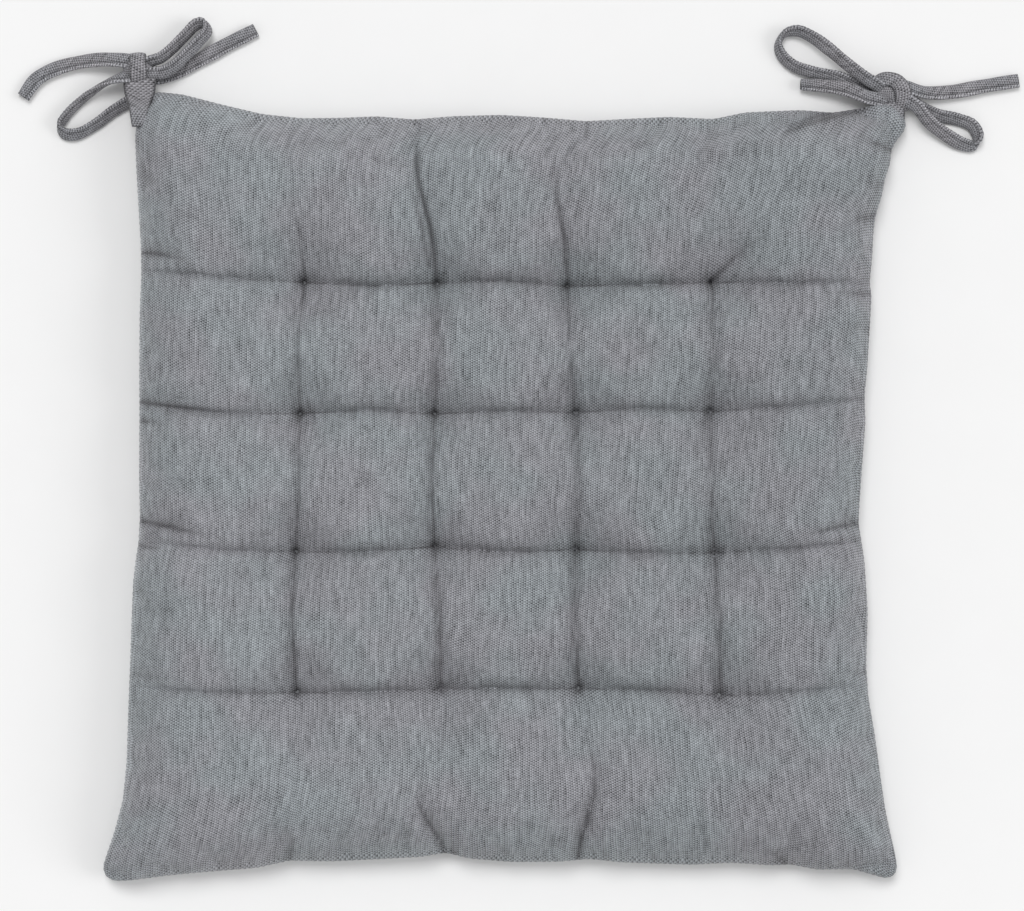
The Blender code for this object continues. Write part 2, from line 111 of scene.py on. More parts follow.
class Kit:
    """One material's node tree with its Principled shader."""

    def __init__(self, name):
        self.material = bpy.data.materials.new(name)
        self.material.use_nodes = True
        self.tree = self.material.node_tree
        self.shader = self.tree.nodes["Principled BSDF"]

    def node(self, kind, settings=None, inputs=None):
        """A node of that type with its settings and its inputs set or linked."""
        made = self.tree.nodes.new(kind)
        for key, value in (settings or {}).items():
            setattr(made, key, value)
        for key, value in (inputs or {}).items():
            self.feed(made.inputs[key], value)
        return made

    def feed(self, socket, value):
        """Link or set one input."""
        if isinstance(value, Sum):
            value = value.socket
        if isinstance(value, bpy.types.NodeSocket):
            self.tree.links.new(value, socket)
        else:
            socket.default_value = value

    def number(self, kind, settings=None, inputs=None, output=0):
        """The chosen output of a node as a Sum."""
        return Sum(self, self.node(kind, settings, inputs).outputs[output])

    def maths(self, operation, first, second=0.0):
        return self.number("ShaderNodeMath", {"operation": operation}, {0: first, 1: second})

    def wave(self, angle):
        """The sine of an angle."""
        return self.maths("SINE", angle)

    def floor(self, value):
        return self.maths("FLOOR", value)

    def noise(self, x, y, detail=1.0):
        """Smooth noise from 0 to 1 over two numbers."""
        place = self.node("ShaderNodeCombineXYZ", None, {"X": x, "Y": y}).outputs[0]
        inputs = {"Vector": place, "Scale": 1.0, "Detail": detail}
        return self.number("ShaderNodeTexNoise", None, inputs)

    def grain(self, scale, detail=2.0):
        """Smooth noise from 0 to 1 through the piece, of so many waves a metre."""
        place = self.node("ShaderNodeTexCoord").outputs["Object"]
        inputs = {"Vector": place, "Scale": scale, "Detail": detail}
        return self.number("ShaderNodeTexNoise", None, inputs)

    def mix(self, share, first, second):
        """Between two colours."""
        inputs = {"Factor": share, 6: first, 7: second}
        return self.node("ShaderNodeMix", {"data_type": "RGBA"}, inputs).outputs[2]

    def scale_colour(self, colour, share):
        """A colour made lighter or darker."""
        settings = {"operation": "SCALE"}
        return self.node("ShaderNodeVectorMath", settings, {0: colour, "Scale": share}).outputs[0]

    def place(self):
        """The piece's own flat-cloth coordinates in millimetres."""
        uv = self.node("ShaderNodeUVMap", {"uv_map": "cloth"}).outputs[0]
        parts = self.node("ShaderNodeSeparateXYZ", None, {0: uv})
        return Sum(self, parts.outputs[0]) * 1000.0, Sum(self, parts.outputs[1]) * 1000.0

    def paint(self, colour, roughness):
        self.feed(self.shader.inputs["Base Color"], colour)
        self.feed(self.shader.inputs["Roughness"], roughness)

    def bump(self, height, distance):
        inputs = {"Height": height, "Distance": distance * MM}
        normal = self.node("ShaderNodeBump", None, inputs).outputs[0]
        self.feed(self.shader.inputs["Normal"], normal)

    def set(self, **constants):
        """Set the shader's other inputs by their names."""
        for key, value in constants.items():
            self.shader.inputs[key.replace("_", " ")].default_value = value


STITCH_PITCH = 1.5
# The third colour of each is a painted shade colour, laid down in creases, grooves and hollow ends.
PAD_COLOURS = [(0.249, 0.269, 0.285), (0.254, 0.256, 0.276), (0.110, 0.102, 0.112)]
TIE_COLOURS = [(0.230, 0.233, 0.250), (0.243, 0.238, 0.254), (0.050, 0.050, 0.056)]


def cloth_material(name, colours, warp, weft, heather, turn=0.0, lift=0.12, sewn=0.55, painted_falloff=0.0):
    """Plain weave on the piece's own coordinates: threads warp and weft millimetres apart, turned
    by an angle, heathered along the warp. The first two colours drift into each other and the
    third is a painted shade colour, laid down in the creases, grooves and hollow ends. sewn shows
    the lip's stitches, and the lip mark lightens the cloth, which on the pad is a painted
    highlight along its left rim. fade is painted shade that darkens the cloth to the right."""
    kit = Kit(name)
    x, y = kit.place()
    lip = kit.number("ShaderNodeAttribute", {"attribute_name": "lip"}, output=2)
    # Painted shade: how far down in a crease, groove or hollow end the cloth lies, from 0 to 1.
    painted_shade = kit.number("ShaderNodeAttribute", {"attribute_name": "painted_shade"}, output=2)
    stitch = kit.wave(x * (2 * math.pi / STITCH_PITCH) + y * 1.6) * lip
    if turn:
        c, s = math.cos(turn), math.sin(turn)
        x, y = x * c + y * s, y * c - x * s
    x = x + kit.noise(x / 26.0, y / 26.0, 2.0) * 3.0
    y = y + kit.noise(x / 31.0 + 9.0, y / 23.0, 2.0) * 2.2
    thread = kit.floor(x / warp)
    pick = kit.floor(y / weft)
    across = kit.wave(x * (2 * math.pi / warp))
    turned = kit.wave(y * (math.pi / weft) + thread * math.pi)
    weave = across * 0.16 + turned * 0.34 + 0.5
    streak = kit.noise(thread * 0.73, y / 9.0) - 0.5
    fine = kit.noise(thread * 1.91 + 40.0, y / 1.3, 0.0) - 0.5
    bar = kit.noise(x / 12.0, pick * 0.61, 0.0) - 0.5
    drift = kit.noise(x / 58.0 + 3.0, y / 44.0, 2.0)
    share = kit.number(
        "ShaderNodeMapRange",
        {"interpolation_type": "SMOOTHSTEP"},
        {"Value": drift, "From Min": 0.36, "From Max": 0.64},
    )
    blotch = kit.noise(x / 17.0 + 5.0, y / 30.0, 2.0) - 0.5
    slub = kit.noise(x / 2.6 + 17.0, y / 24.0) - 0.5
    tone = streak * (heather * 2.6) + fine * (heather * 1.5) + bar * (heather * 0.5)
    tone = tone + slub * (heather * 1.5)
    # The lip mark makes the cloth lighter: along the tape's stitched lip, and on the pad as a painted
    # highlight along its left rim.
    tone = tone + (weave - 0.5) * 1.5 + blotch * 0.2 + stitch * sewn + lip * 0.35 + 1.0
    # Painted shade: the tone falls towards the right, and down in the creases.
    tone = (tone - x * painted_falloff) * (1.0 - painted_shade * 0.45)
    colour = kit.mix(share, (*colours[0], 1.0), (*colours[1], 1.0))
    # Painted shade: down in a crease the colour moves towards the third one.
    colour = kit.mix(painted_shade * 0.6, colour, (*colours[2], 1.0))
    kit.paint(kit.scale_colour(colour, tone), 0.96 - weave * 0.12)
    kit.bump(weave + fine * 0.3 + streak * 0.2 + stitch * (sewn * 1.5), lift)
    kit.set(Sheen_Weight=0.18, Sheen_Roughness=0.5, Specular_IOR_Level=0.2)
    return kit.material


def thread_material(name, colour, pitch):
    """Twisted thread, its strands running round it."""
    kit = Kit(name)
    x, y = kit.place()
    twist = kit.wave(x * (2 * math.pi / pitch) + y * (2 * math.pi / pitch)) * 0.5 + 0.5
    fuzz = kit.noise(x / 0.6, y / 0.6, 2.0)
    tone = 0.72 + twist * 0.36 + fuzz * 0.25
    kit.paint(kit.scale_colour(colour, tone), 0.75 + fuzz * 0.15)
    kit.bump(twist + fuzz * 0.3, 0.08)
    kit.set(Sheen_Weight=0.1)
    return kit.material


def fibre_material(name):
    """Loose white fibre, tangled."""
    kit = Kit(name)
    tangle = kit.grain(900.0, 6.0)
    clump = kit.grain(60.0)
    white = kit.scale_colour((0.86, 0.86, 0.84), 0.75 + tangle * 0.3 + clump * 0.2)
    kit.paint(white, 0.9 + tangle * 0.1)
    kit.bump(tangle + clump * 2.0, 0.6)
    kit.set(Sheen_Weight=0.3)
    return kit.material


def floor_material():
    """Plain pale paper with a trace of grain."""
    kit = Kit("pale floor")
    kit.paint(kit.scale_colour((0.93, 0.93, 0.93), 0.99 + kit.grain(40.0) * 0.02), 0.9)
    kit.set(Specular_IOR_Level=0.1)
    return kit.material


# --- Meshes ----------------------------------------------------------------------------------


def add_mesh(name, points, quads, uv, material, caps=(), marks=None):
    """A smooth mesh object from millimetre points, quads, a flat-cloth place per point in
    millimetres, and any polygons that close its ends."""
    mesh = bpy.data.meshes.new(name)
    faces = quads.tolist() + [list(cap) for cap in caps]
    mesh.from_pydata((points * MM).tolist(), [], faces)
    layer = mesh.uv_layers.new(name="cloth")
    corner = np.zeros(len(mesh.loops), np.int32)
    mesh.loops.foreach_get("vertex_index", corner)
    layer.data.foreach_set("uv", (uv[corner] * MM).astype(np.float32).ravel())
    for key, values in (marks or {}).items():
        attribute = mesh.attributes.new(key, "FLOAT", "POINT")
        attribute.data.foreach_set("value", values.astype(np.float32))
    mesh.shade_smooth()
    mesh.materials.append(material)
    made = bpy.data.objects.new(name, mesh)
    bpy.context.scene.collection.objects.link(made)
    return made


def grid_quads(rows, columns, start=0, wrap=False, flip=False):
    """Quads of a grid of points laid row after row; wrap joins the last column to the first."""
    row = np.arange(rows - 1)[:, None]
    column = np.arange(columns if wrap else columns - 1)[None, :]
    after = (column + 1) % columns
    a = start + row * columns + column
    b = start + row * columns + after
    c = b + columns
    d = a + columns
    quads = np.stack([a, b, c, d], axis=-1).reshape(-1, 4)
    return quads[:, ::-1] if flip else quads


def run_along(points):
    """The length along a line of points, from 0 at the first one to the whole at the last."""
    return np.concatenate([[0], np.cumsum(np.linalg.norm(np.diff(points, axis=0), axis=1))])


def eased(values, width, **edge):
    """Values averaged over a soft window of that width."""
    window = np.hanning(width)
    return np.convolve(np.pad(values, width // 2, **edge), window / window.sum(), "valid")


def smooth_route(route, spacing):
    """Points about spacing apart on a centripetal Catmull-Rom curve through the route."""
    stops = np.array(route, float)
    stops = np.vstack([2 * stops[0] - stops[1], stops, 2 * stops[-1] - stops[-2]])
    knots = np.concatenate([[0], np.cumsum(np.linalg.norm(np.diff(stops, axis=0), axis=1) ** 0.5)])
    fine = []
    for i in range(1, len(stops) - 2):
        t0, t1, t2, t3 = knots[i - 1 : i + 3]
        p0, p1, p2, p3 = stops[i - 1 : i + 3]
        t = np.linspace(t1, t2, 24, endpoint=False)[:, None]
        a1 = ((t1 - t) * p0 + (t - t0) * p1) / (t1 - t0)
        a2 = ((t2 - t) * p1 + (t - t1) * p2) / (t2 - t1)
        a3 = ((t3 - t) * p2 + (t - t2) * p3) / (t3 - t2)
        b1 = ((t2 - t) * a1 + (t - t0) * a2) / (t2 - t0)
        b2 = ((t3 - t) * a2 + (t - t1) * a3) / (t3 - t1)
        fine.append(((t2 - t) * b1 + (t - t1) * b2) / (t2 - t1))
    fine = np.vstack([*fine, stops[-2]])
    run = run_along(fine)
    steps = np.linspace(0, run[-1], max(round(run[-1] / spacing), 2) + 1)
    return np.column_stack([np.interp(steps, run, fine[:, axis]) for axis in range(3)])


def unit(vectors):
    """Vectors brought to a length of 1."""
    return vectors / np.linalg.norm(vectors, axis=-1, keepdims=True)


def by_share(values, count):
    """Values given at equal shares of the length, eased to one per station."""
    values = np.array(values, float)
    if values.ndim == 1:
        values = values[:, None]
    at = np.linspace(0, 1, len(values))
    share = np.linspace(0, 1, count)
    return np.column_stack([np.interp(share, at, values[:, i]) for i in range(values.shape[1])])


RING = 36
TABLE_GAP = 0.15


def tape_section(seam):
    """Across a folded tape, from -1 to 1, and half its thickness there, from 0 to 1: a soft flat
    tube, and where there is a seam a thinner stitched lip along one edge."""
    angle = np.linspace(0, 2 * np.pi, RING, endpoint=False)
    across = np.cos(angle)
    if seam:
        body = 1 - np.clip(np.abs((across + 0.22) / 0.78), 0, 1) ** 2.3
        lip = 1 - np.clip(np.abs((across - 0.74) / 0.27), 0, 1) ** 2.2
        half = np.maximum(body ** (1 / 2.3), 0.5 * lip ** (1 / 2.2))
    else:
        half = (1 - np.abs(across) ** 2.5) ** (1 / 2.5)
    return across, half * np.sign(np.sin(angle) + 1e-9) * (np.abs(np.sin(angle)) > 1e-6)


def tape(name, route, leans, material, widths, thick, seam=True, spacing=0.9, hollow=0.0,
         lift=True, into=(0.0, 0.0)):
    """A run of tape along a route in millimetres, its two ends carried straight on by into, its far
    end hollow to a depth; returns the object, its ring centres and its length."""
    route = [np.array(stop, float) for stop in route]
    for end, after, share in ((0, 1, into[0]), (-1, -2, into[1])):
        if share:
            # An end that comes over the knot also sinks into it.
            sink = 0.4 * share if route[end][2] > 6 else 0.0
            further = route[end] + unit(route[end] - route[after]) * share - [0, 0, sink]
            route = [further, *route] if end == 0 else [*route, further]
    centre = smooth_route(route, spacing)
    count = len(centre)
    along = unit(np.gradient(centre, axis=0))
    wide = by_share(leans, count)
    wide = unit(wide - (wide * along).sum(1, keepdims=True) * along)
    deep = np.cross(along, wide)
    run = run_along(centre)
    across, half = tape_section(seam)
    # Each run's width ripples a little, from a start of its own.
    ripple = 1 + 0.035 * np.sin(run / 6.1 + len(name)) + 0.025 * np.sin(run / 2.7)
    width = by_share(widths, count) * ripple[:, None] / 2
    depth = (thick / 2) * (1 + 0.05 * np.sin(run / 4.3 + 1.0))[:, None]
    side = width * across[None, :]
    rise = depth * half[None, :]
    if seam:
        stitch = np.sin(run[:, None] * (2 * np.pi / STITCH_PITCH) + np.sign(half)[None, :] * 1.2)
        rise = rise + 0.11 * stitch * np.sign(half)[None, :] * (across > 0.36)[None, :]
        side = side + 0.10 * stitch * (across > 0.86)[None, :]
    points = centre[:, None, :] + side[:, :, None] * wide[:, None, :]
    points = points + rise[:, :, None] * deep[:, None, :]
    if lift:
        # Rings that would dip into the table are raised, and their neighbours with them.
        short = np.clip(TABLE_GAP - points[:, :, 2].min(1), 0, None)
        short = np.maximum(eased(short, 15, mode="edge"), short)
        points[:, :, 2] += short[:, None]
        centre = centre + np.column_stack([np.zeros(count), np.zeros(count), short])
    start = centre[0] + (points[0] - centre[0]) * 0.5
    finish = centre[-1] + (points[-1] - centre[-1]) * (0.72 if hollow else 0.5) - along[-1] * hollow
    points = np.concatenate([points, start[None], finish[None]])
    # Each ring is joined to the next, and the two end rings to the first and the last.
    pairs = [(i, i + 1) for i in range(count - 1)] + [(count, 0), (count - 1, count + 1)]
    near, far = np.array(pairs).T[:, :, None] * RING
    step = np.arange(RING)
    after = (step + 1) % RING
    quads = np.stack([far + step, far + after, near + after, near + step], axis=-1).reshape(-1, 4)
    caps = [(count * RING + step).tolist(), ((count + 1) * RING + step[::-1]).tolist()]
    round_it = run_along(np.column_stack([across, half]) * [3.3, 1.6])
    places = np.column_stack(
        [np.repeat([*run, run[0], run[-1]], RING), np.tile(round_it, count + 2)]
    )
    # Painted shade across the tape: on a stitched tape in the groove beside its lip, on a plain tape
    # along its edges.
    if seam:
        lip = np.clip((across - 0.5) * 9, 0, 1)
        painted_shade_across = np.exp(-(((across - 0.44) / 0.09) ** 2)) * 0.8
    else:
        lip = np.zeros(RING)
        painted_shade_across = np.clip((np.abs(across) - 0.78) * 5, 0, 0.85)
    marks = {
        "lip": np.tile(lip, count + 2),
        # Painted shade also on both end caps, where the hollow of a cut end lies in shade.
        "painted_shade": np.concatenate([np.tile(painted_shade_across, count), np.full(2 * RING, 0.45)]),
    }
    made = add_mesh(name, points.reshape(-1, 3), quads, places, material, caps, marks)
    return made, centre, run[-1]


# --- Bows ------------------------------------------------------------------------------------

# The ties' routes: points counted from the knot's centre, with heights above the table.
LEFT_KNOT = (-182.5, 211.5)
RIGHT_KNOT = (195.7, 199.5)
LEFT_ROUTES = {
    "loop_left": [
        (-7.9, -4.8, 9.3), (-12.0, -5.9, 9.2), (-19.0, -8.9, 6.8), (-28.5, -15.3, 3.6),
        (-36.3, -23.2, 2.8), (-39.3, -28.5, 2.8), (-37.1, -32.1, 2.8), (-31.3, -32.6, 2.8),
        (-21.2, -27.4, 2.8), (-13.1, -21.2, 2.8), (-7.0, -17.4, 2.8), (-3.2, -14.8, 2.8),
        (-1.6, -11.8, 2.9), (-1.5, -8.5, 3.0),
    ],
    "loop_right": [
        (7.9, 4.1, 9.0), (11.5, 5.3, 9.0), (17.5, 10.2, 8.0), (23.5, 16.5, 7.0),
        (29.5, 22.5, 6.0), (33.5, 22.9, 6.0), (34.9, 19.5, 7.0), (30.5, 13.5, 9.0),
        (24.0, 6.5, 10.0), (17.5, 0.4, 10.2), (12.0, -2.1, 10.2), (7.9, -2.3, 10.2),
    ],
    "tail_left": [
        (-7.7, 4.1, 9.5), (-11.0, 4.3, 9.3), (-18.5, 4.6, 7.0), (-30.0, 3.4, 4.0),
        (-42.5, 0.0, 2.8), (-51.5, -5.2, 2.8), (-57.9, -13.9, 2.8),
    ],
    "tail_right": [
        (7.7, -3.8, 3.3), (11.0, -3.8, 3.0), (17.8, -1.9, 2.8), (31.4, 5.2, 2.8),
        (44.4, 12.4, 2.8), (59.1, 19.9, 2.8),
    ],
}
RIGHT_ROUTES = {
    "loop_left": [
        (-8.4, 4.2, 10.0), (-12.0, 6.3, 10.0), (-22.0, 13.8, 9.0), (-31.0, 21.5, 7.5),
        (-39.7, 28.0, 6.0), (-47.2, 31.3, 5.0), (-53.7, 29.8, 4.0), (-56.5, 24.5, 3.5),
        (-54.7, 19.0, 3.5), (-48.7, 13.7, 4.0), (-40.5, 10.8, 4.4), (-26.5, 8.0, 4.0),
        (-15.0, 2.9, 3.6), (-11.5, 1.4, 3.4), (-8.2, 1.0, 3.4),
    ],
    "loop_right": [
        (8.4, -4.5, 9.3), (12.2, -6.9, 9.1), (18.5, -14.2, 7.0), (26.8, -20.5, 5.0),
        (35.8, -25.5, 3.5), (41.9, -26.1, 3.0), (43.7, -21.5, 3.0), (40.6, -15.9, 3.0),
        (32.8, -12.9, 3.0), (23.3, -10.9, 3.0), (13.5, -6.1, 3.2), (11.0, -4.6, 3.3),
        (8.2, -3.9, 3.3),
    ],
    "tail_left": [
        (-8.4, -3.3, 9.8), (-12.5, -2.5, 9.8), (-22.0, 1.4, 9.0), (-35.7, 3.7, 6.0),
        (-45.4, 4.4, 3.5),
    ],
    "tail_right": [
        (8.5, 2.2, 7.8), (12.0, 1.2, 7.3), (18.5, 0.1, 4.8), (32.0, 0.9, 3.0), (46.0, 3.5, 2.8),
        (59.5, 5.7, 2.8), (64.1, 6.4, 2.8),
    ],
}
# Where each tape's stitched edge points, at equal shares of its length.
LEFT_LEANS = {
    "loop_left": [(0, -0.8, 0.5), (-0.1, 0.3, 1), (0, 0.7, 0.7), (0, 0.7, 0.7), (0, 0.7, 0.7)],
    "loop_right": [(-0.4, 0.5, 0.75), (-0.4, 0.5, 0.75), (-0.45, 0.6, 0.7), (-0.3, 0.75, 0.6)],
    "tail_left": [(0, -1, 0.35), (0.1, -1, 0.3), (0.3, -1, 0.2), (0.9, -0.5, 0.2)],
    "tail_right": [(0.4, -0.9, -0.3), (0.45, -0.9, -0.2), (0.5, -0.9, -0.15)],
}
RIGHT_LEANS = {
    "loop_left": [(0.5, 0.6, 0.6), (0.5, 0.6, 0.6), (0.3, 0.5, 0.8), (0.3, 0.7, 0.7), (0, 0.9, 0.5)],
    "loop_right": [(0.5, 0.7, 0.5), (0.5, 0.7, 0.5), (0.45, 0.6, 0.6), (0.3, 0.7, 0.6)],
    "tail_left": [(0, -1, 0.1), (0.1, -1, 0.1), (0.1, -1, 0.25)],
    "tail_right": [(0, -1, 0.4), (0.1, -1, 0.3), (0.1, -1, 0.2)],
}
TAPE_WIDTH = 7.2
# How far a tape goes on into its knot.
INTO_KNOT = 5.5


def make_runs(side, knot, routes, leans, material):
    """The loops and tails of one bow, each made as a run of tape."""
    for name, route in routes.items():
        placed = [(knot[0] + x, knot[1] + y, z) for x, y, z in route]
        loop = name.startswith("loop")
        short = side == "right" and name == "tail_left"
        back_in = INTO_KNOT + (0.5 if side == "left" and name == "loop_right" else 0.0)
        made, centre, length = tape(
            f"{side}_{name}_tape", placed, leans[name], material,
            widths=(6.4, 7.4, 5.6) if short else (TAPE_WIDTH,), thick=3.4,
            hollow=0.0 if loop else 1.6, into=(INTO_KNOT, back_in if loop else 0.0),
        )
        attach(made, f"{side}_bow")
        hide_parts(f"{side}_{name}")


def make_core(name, centre, radii, material):
    """The middle of a knot: a slightly uneven sphere stretched to its radii, its poles closed to
    one point each."""
    rows, columns = 25, 40
    polar = np.linspace(0, np.pi, rows)[1:-1, None]
    round_it = np.linspace(0, 2 * np.pi, columns, endpoint=False)[None, :]
    swell = 1 + 0.05 * np.sin(3 * round_it + 1) * np.sin(2 * polar)
    shell = np.stack(
        [
            np.sin(polar) * np.cos(round_it) * swell,
            np.sin(polar) * np.sin(round_it) * swell,
            -np.cos(polar) * np.ones_like(round_it),
        ],
        axis=-1,
    ).reshape(-1, 3)
    points = np.vstack([shell, [[0, 0, -1]], [[0, 0, 1]]]) * radii + centre
    quads = grid_quads(rows - 2, columns, wrap=True)
    step = np.arange(columns)
    after = (step + 1) % columns
    low, high = len(points) - 2, len(points) - 1
    last = (rows - 3) * columns
    caps = [[low, int(j), int(i)] for i, j in zip(step, after)]
    caps += [[high, last + int(i), last + int(j)] for i, j in zip(step, after)]
    uv = np.column_stack([points[:, 0] + points[:, 2], points[:, 1] + points[:, 2] * 0.5])
    return add_mesh(name, points, quads, uv, material, caps)


def make_left_knot(material):
    """An upright band of tape that wraps round the ties, over a rounded middle."""
    x, y = LEFT_KNOT
    angle = np.radians(np.linspace(-110, 250, 17))
    route = [
        (x - 0.2 + 1.1 * math.sin(a * 0.5), y + 0.3 + 6.3 * math.cos(a), 6.7 + 5.0 * math.sin(a))
        for a in angle
    ]
    leans = [(1, 0.05, 0.1)] * 3 + [(1, 0.25, 0.0)] * 3
    band, _, _ = tape(
        "left_knot_band", route, leans, material, widths=(7.5, 9.4, 8.4, 9.6, 7.5), thick=3.3,
        seam=False,
    )
    core = make_core("left_knot_core", (x, y, 6.6), (7.3, 6.0, 5.4), material)
    return band, core


def make_right_knot(material):
    """A rounded band that comes over from the upper left to the lower right."""
    x, y = RIGHT_KNOT
    route = [
        (x - 6.4, y + 1.6, 2.6), (x - 7.0, y + 5.0, 6.2), (x - 3.2, y + 6.6, 9.8),
        (x + 2.0, y + 5.2, 11.0), (x + 5.0, y + 0.8, 10.8), (x + 5.6, y - 4.2, 8.8),
        (x + 4.6, y - 7.4, 5.4), (x + 1.6, y - 6.6, 2.8),
    ]
    leans = [
        (-0.6, 0.6, 0), (0.2, 1, 0.2), (0.4, 1, 0.1), (0.8, 0.7, 0), (1, 0.2, 0), (1, 0, 0),
        (1, 0.1, 0.2),
    ]
    band, _, _ = tape(
        "right_knot_band", route, leans, material, widths=(6.6, 7.4, 8.4, 8.6, 7.6), thick=3.8,
        seam=False,
    )
    core = make_core("right_knot_core", (x - 0.6, y - 0.2, 6.2), (7.2, 6.2, 4.8), material)
    return band, core


# --- The pad ---------------------------------------------------------------------------------

# The outline, with a point wherever an edge bends: y at x for the back and front edges, x at y for
# the sides.
BACK_EDGE = [
    (-175, 200), (-160, 198.3), (-140, 193), (-120, 188.2), (-100, 186), (-80, 186.2), (-62, 187),
    (-44, 185.4), (-24, 187), (0, 187.6), (24, 186.2), (42, 184.6), (62, 185.6), (84, 186.6),
    (106, 185.6), (122, 189), (150, 190.2), (166, 189), (178, 191), (188, 193.4), (196, 193.2),
    (203, 190),
]
FRONT_EDGE = [
    (-201.5, -196), (-186, -195.3), (-165, -192.3), (-140, -190), (-122, -188.6), (-106, -185),
    (-85, -185.3), (-60, -184), (-40, -183), (-28, -181), (-16, -184), (5, -185.6), (30, -185.4),
    (44, -184), (60, -185.8), (95, -187), (115, -186), (135, -187.4), (145, -187), (158, -189.6),
    (176, -189.4), (188, -193), (199.5, -196.5),
]
LEFT_EDGE = [
    (-196, -201.5), (-188, -199.6), (-170, -193.4), (-155, -189.4), (-135, -187.3), (-100, -186.2),
    (-70, -185), (-45, -184), (-32, -182.4), (-26, -181.4), (-12, -180.6), (8, -181), (34, -181),
    (55, -181), (90, -180.8), (106, -180), (123, -180.2), (139, -181.2), (160, -182.6),
    (178, -183.4), (190, -181), (200, -175),
]
RIGHT_EDGE = [
    (-196.5, 199.5), (-184, 197.4), (-160, 192), (-140, 189), (-120, 186.2), (-104, 183.4),
    (-87, 182.2), (-60, 183), (-35, 181.4), (-16, 178.4), (-4, 179), (10, 180), (34, 181.8),
    (48, 181.4), (62, 182.8), (84, 184.2), (98, 185), (104, 184), (116, 185.2), (130, 186),
    (138, 187.2), (148, 190.4), (156, 191.8), (164, 194.6), (170, 195), (175, 197.4),
    (180, 201.6), (185, 203.6), (190, 203),
]
# The tufts, a row at a time from the back.
TUFTS = [
    [(-98.3, 103.8), (-32.3, 103.3), (32.8, 101.8), (104.3, 103.8)],
    [(-100.3, 38.3), (-33.3, 38.3), (36.8, 38.8), (103.8, 39.3)],
    [(-102.3, -30.3), (-33.3, -27.8), (37.3, -29.3), (105.8, -30.8)],
    [(-101.8, -100.3), (-29.8, -98.3), (38.3, -98.3), (108.3, -101.8)],
]
# The pad's width and depth through its middle, and its cloth's laid flat.
MID_WIDTH = 384.0
MID_DEPTH = 374.0
FLAT_WIDTH = 400.0
FLAT_DEPTH = 396.0
SEAM_HEIGHT = 14.0
CORNER_HEIGHT = 7.0
CROWN = 39.0
# How far in from the rim the top and the underside go on curving.
EDGE_REACH = 40.0
UNDER_REACH = 27.0
SKIN = 1.0
# The corners' radii: front left and right, then back left and right.
CORNER_RADII = ((9.0, 9.0), (4.0, 9.0))


def edge_curve(points, share):
    """The second number along an edge at shares of the first, eased through the chosen points."""
    points = np.array(points, float)
    at = points[0, 0] + (points[-1, 0] - points[0, 0]) * share
    fine = np.linspace(points[0, 0], points[-1, 0], 400)
    value = np.interp(fine, points[:, 0], points[:, 1])
    value = eased(value, 9, mode="reflect", reflect_type="odd")
    return at, np.interp(at, fine, value)


def round_corner(u, v):
    """Shares moved so that the square's corners are quarter circles."""
    new_u, new_v = u.copy(), v.copy()
    for back in (0, 1):
        for right in (0, 1):
            radius = CORNER_RADII[back][right]
            p = 1 - np.abs(u - right) * MID_WIDTH / radius
            q = 1 - np.abs(v - back) * MID_DEPTH / radius
            inside = (p > 0) & (q > 0)
            p, q = np.clip(p, 0, 1), np.clip(q, 0, 1)
            in_u = (p - p * np.sqrt(1 - q**2 / 2)) * radius / MID_WIDTH
            in_v = (q - q * np.sqrt(1 - p**2 / 2)) * radius / MID_DEPTH
            new_u = np.where(inside, new_u + in_u * (1 - 2 * right), new_u)
            new_v = np.where(inside, new_v + in_v * (1 - 2 * back), new_v)
    return new_u, new_v


def plan(u, v):
    """The plan point at shares u across and v back: opposite edges blended, less their corners."""
    u, v = round_corner(u, v)
    bx, by = edge_curve(BACK_EDGE, u)
    fx, fy = edge_curve(FRONT_EDGE, u)
    ly, lx = edge_curve(LEFT_EDGE, v)
    ry, rx = edge_curve(RIGHT_EDGE, v)
    x = (1 - v) * fx + v * bx + (1 - u) * lx + u * rx
    y = (1 - v) * fy + v * by + (1 - u) * ly + u * ry
    for (cx, cy), weight in (
        (FRONT_EDGE[0], (1 - u) * (1 - v)), (FRONT_EDGE[-1], u * (1 - v)),
        (BACK_EDGE[0], (1 - u) * v), (BACK_EDGE[-1], u * v),
    ):
        x = x - weight * cx
        y = y - weight * cy
    return x, y


def seam_height(u, v):
    """The seam's height: level along the sides, lower in the corners, a little uneven."""
    corner = (np.abs(2 * u - 1) * np.abs(2 * v - 1)) ** 5
    level = SEAM_HEIGHT + 0.5 * np.sin(23 * u + 17 * v) + 0.4 * np.sin(41 * v - 31 * u)
    return level + (CORNER_HEIGHT - level) * corner


def rounded_edge(u, v, reach):
    """A quarter ellipse in from each edge: 0 on the rim, and 1 from reach millimetres inwards."""
    across = np.clip(np.minimum(u, 1 - u) * MID_WIDTH / reach, 0, 1)
    back = np.clip(np.minimum(v, 1 - v) * MID_DEPTH / reach, 0, 1)
    return np.sqrt(1 - (1 - across) ** 2) * np.sqrt(1 - (1 - back) ** 2)


def from_tufts(x, y, tall=1.0):
    """The distance to each tuft in turn, for marks that are so many times as tall as wide."""
    for row in TUFTS:
        for cx, cy in row:
            yield np.hypot(x - cx, (y - cy) / tall)


def crease(x, y, line, depths, reach, sharp):
    """A dent along a line: full depth on it, fading with distance, its bottom rounded over sharp."""
    line = np.array(line, float)
    best = np.full(x.shape, 1e9)
    depth = np.zeros(x.shape)
    deep = np.interp(np.linspace(0, 1, len(line)), np.linspace(0, 1, len(depths)), depths)
    for i in range(len(line) - 1):
        a, b = line[i], line[i + 1]
        d = b - a
        t = np.clip(((x - a[0]) * d[0] + (y - a[1]) * d[1]) / (d @ d), 0, 1)
        away = np.hypot(x - a[0] - t * d[0], y - a[1] - t * d[1])
        nearer = away < best
        best = np.where(nearer, away, best)
        depth = np.where(nearer, deep[i] + (deep[i + 1] - deep[i]) * t, depth)
    return depth * np.exp(-(np.sqrt(best**2 + sharp**2) - sharp) / reach)


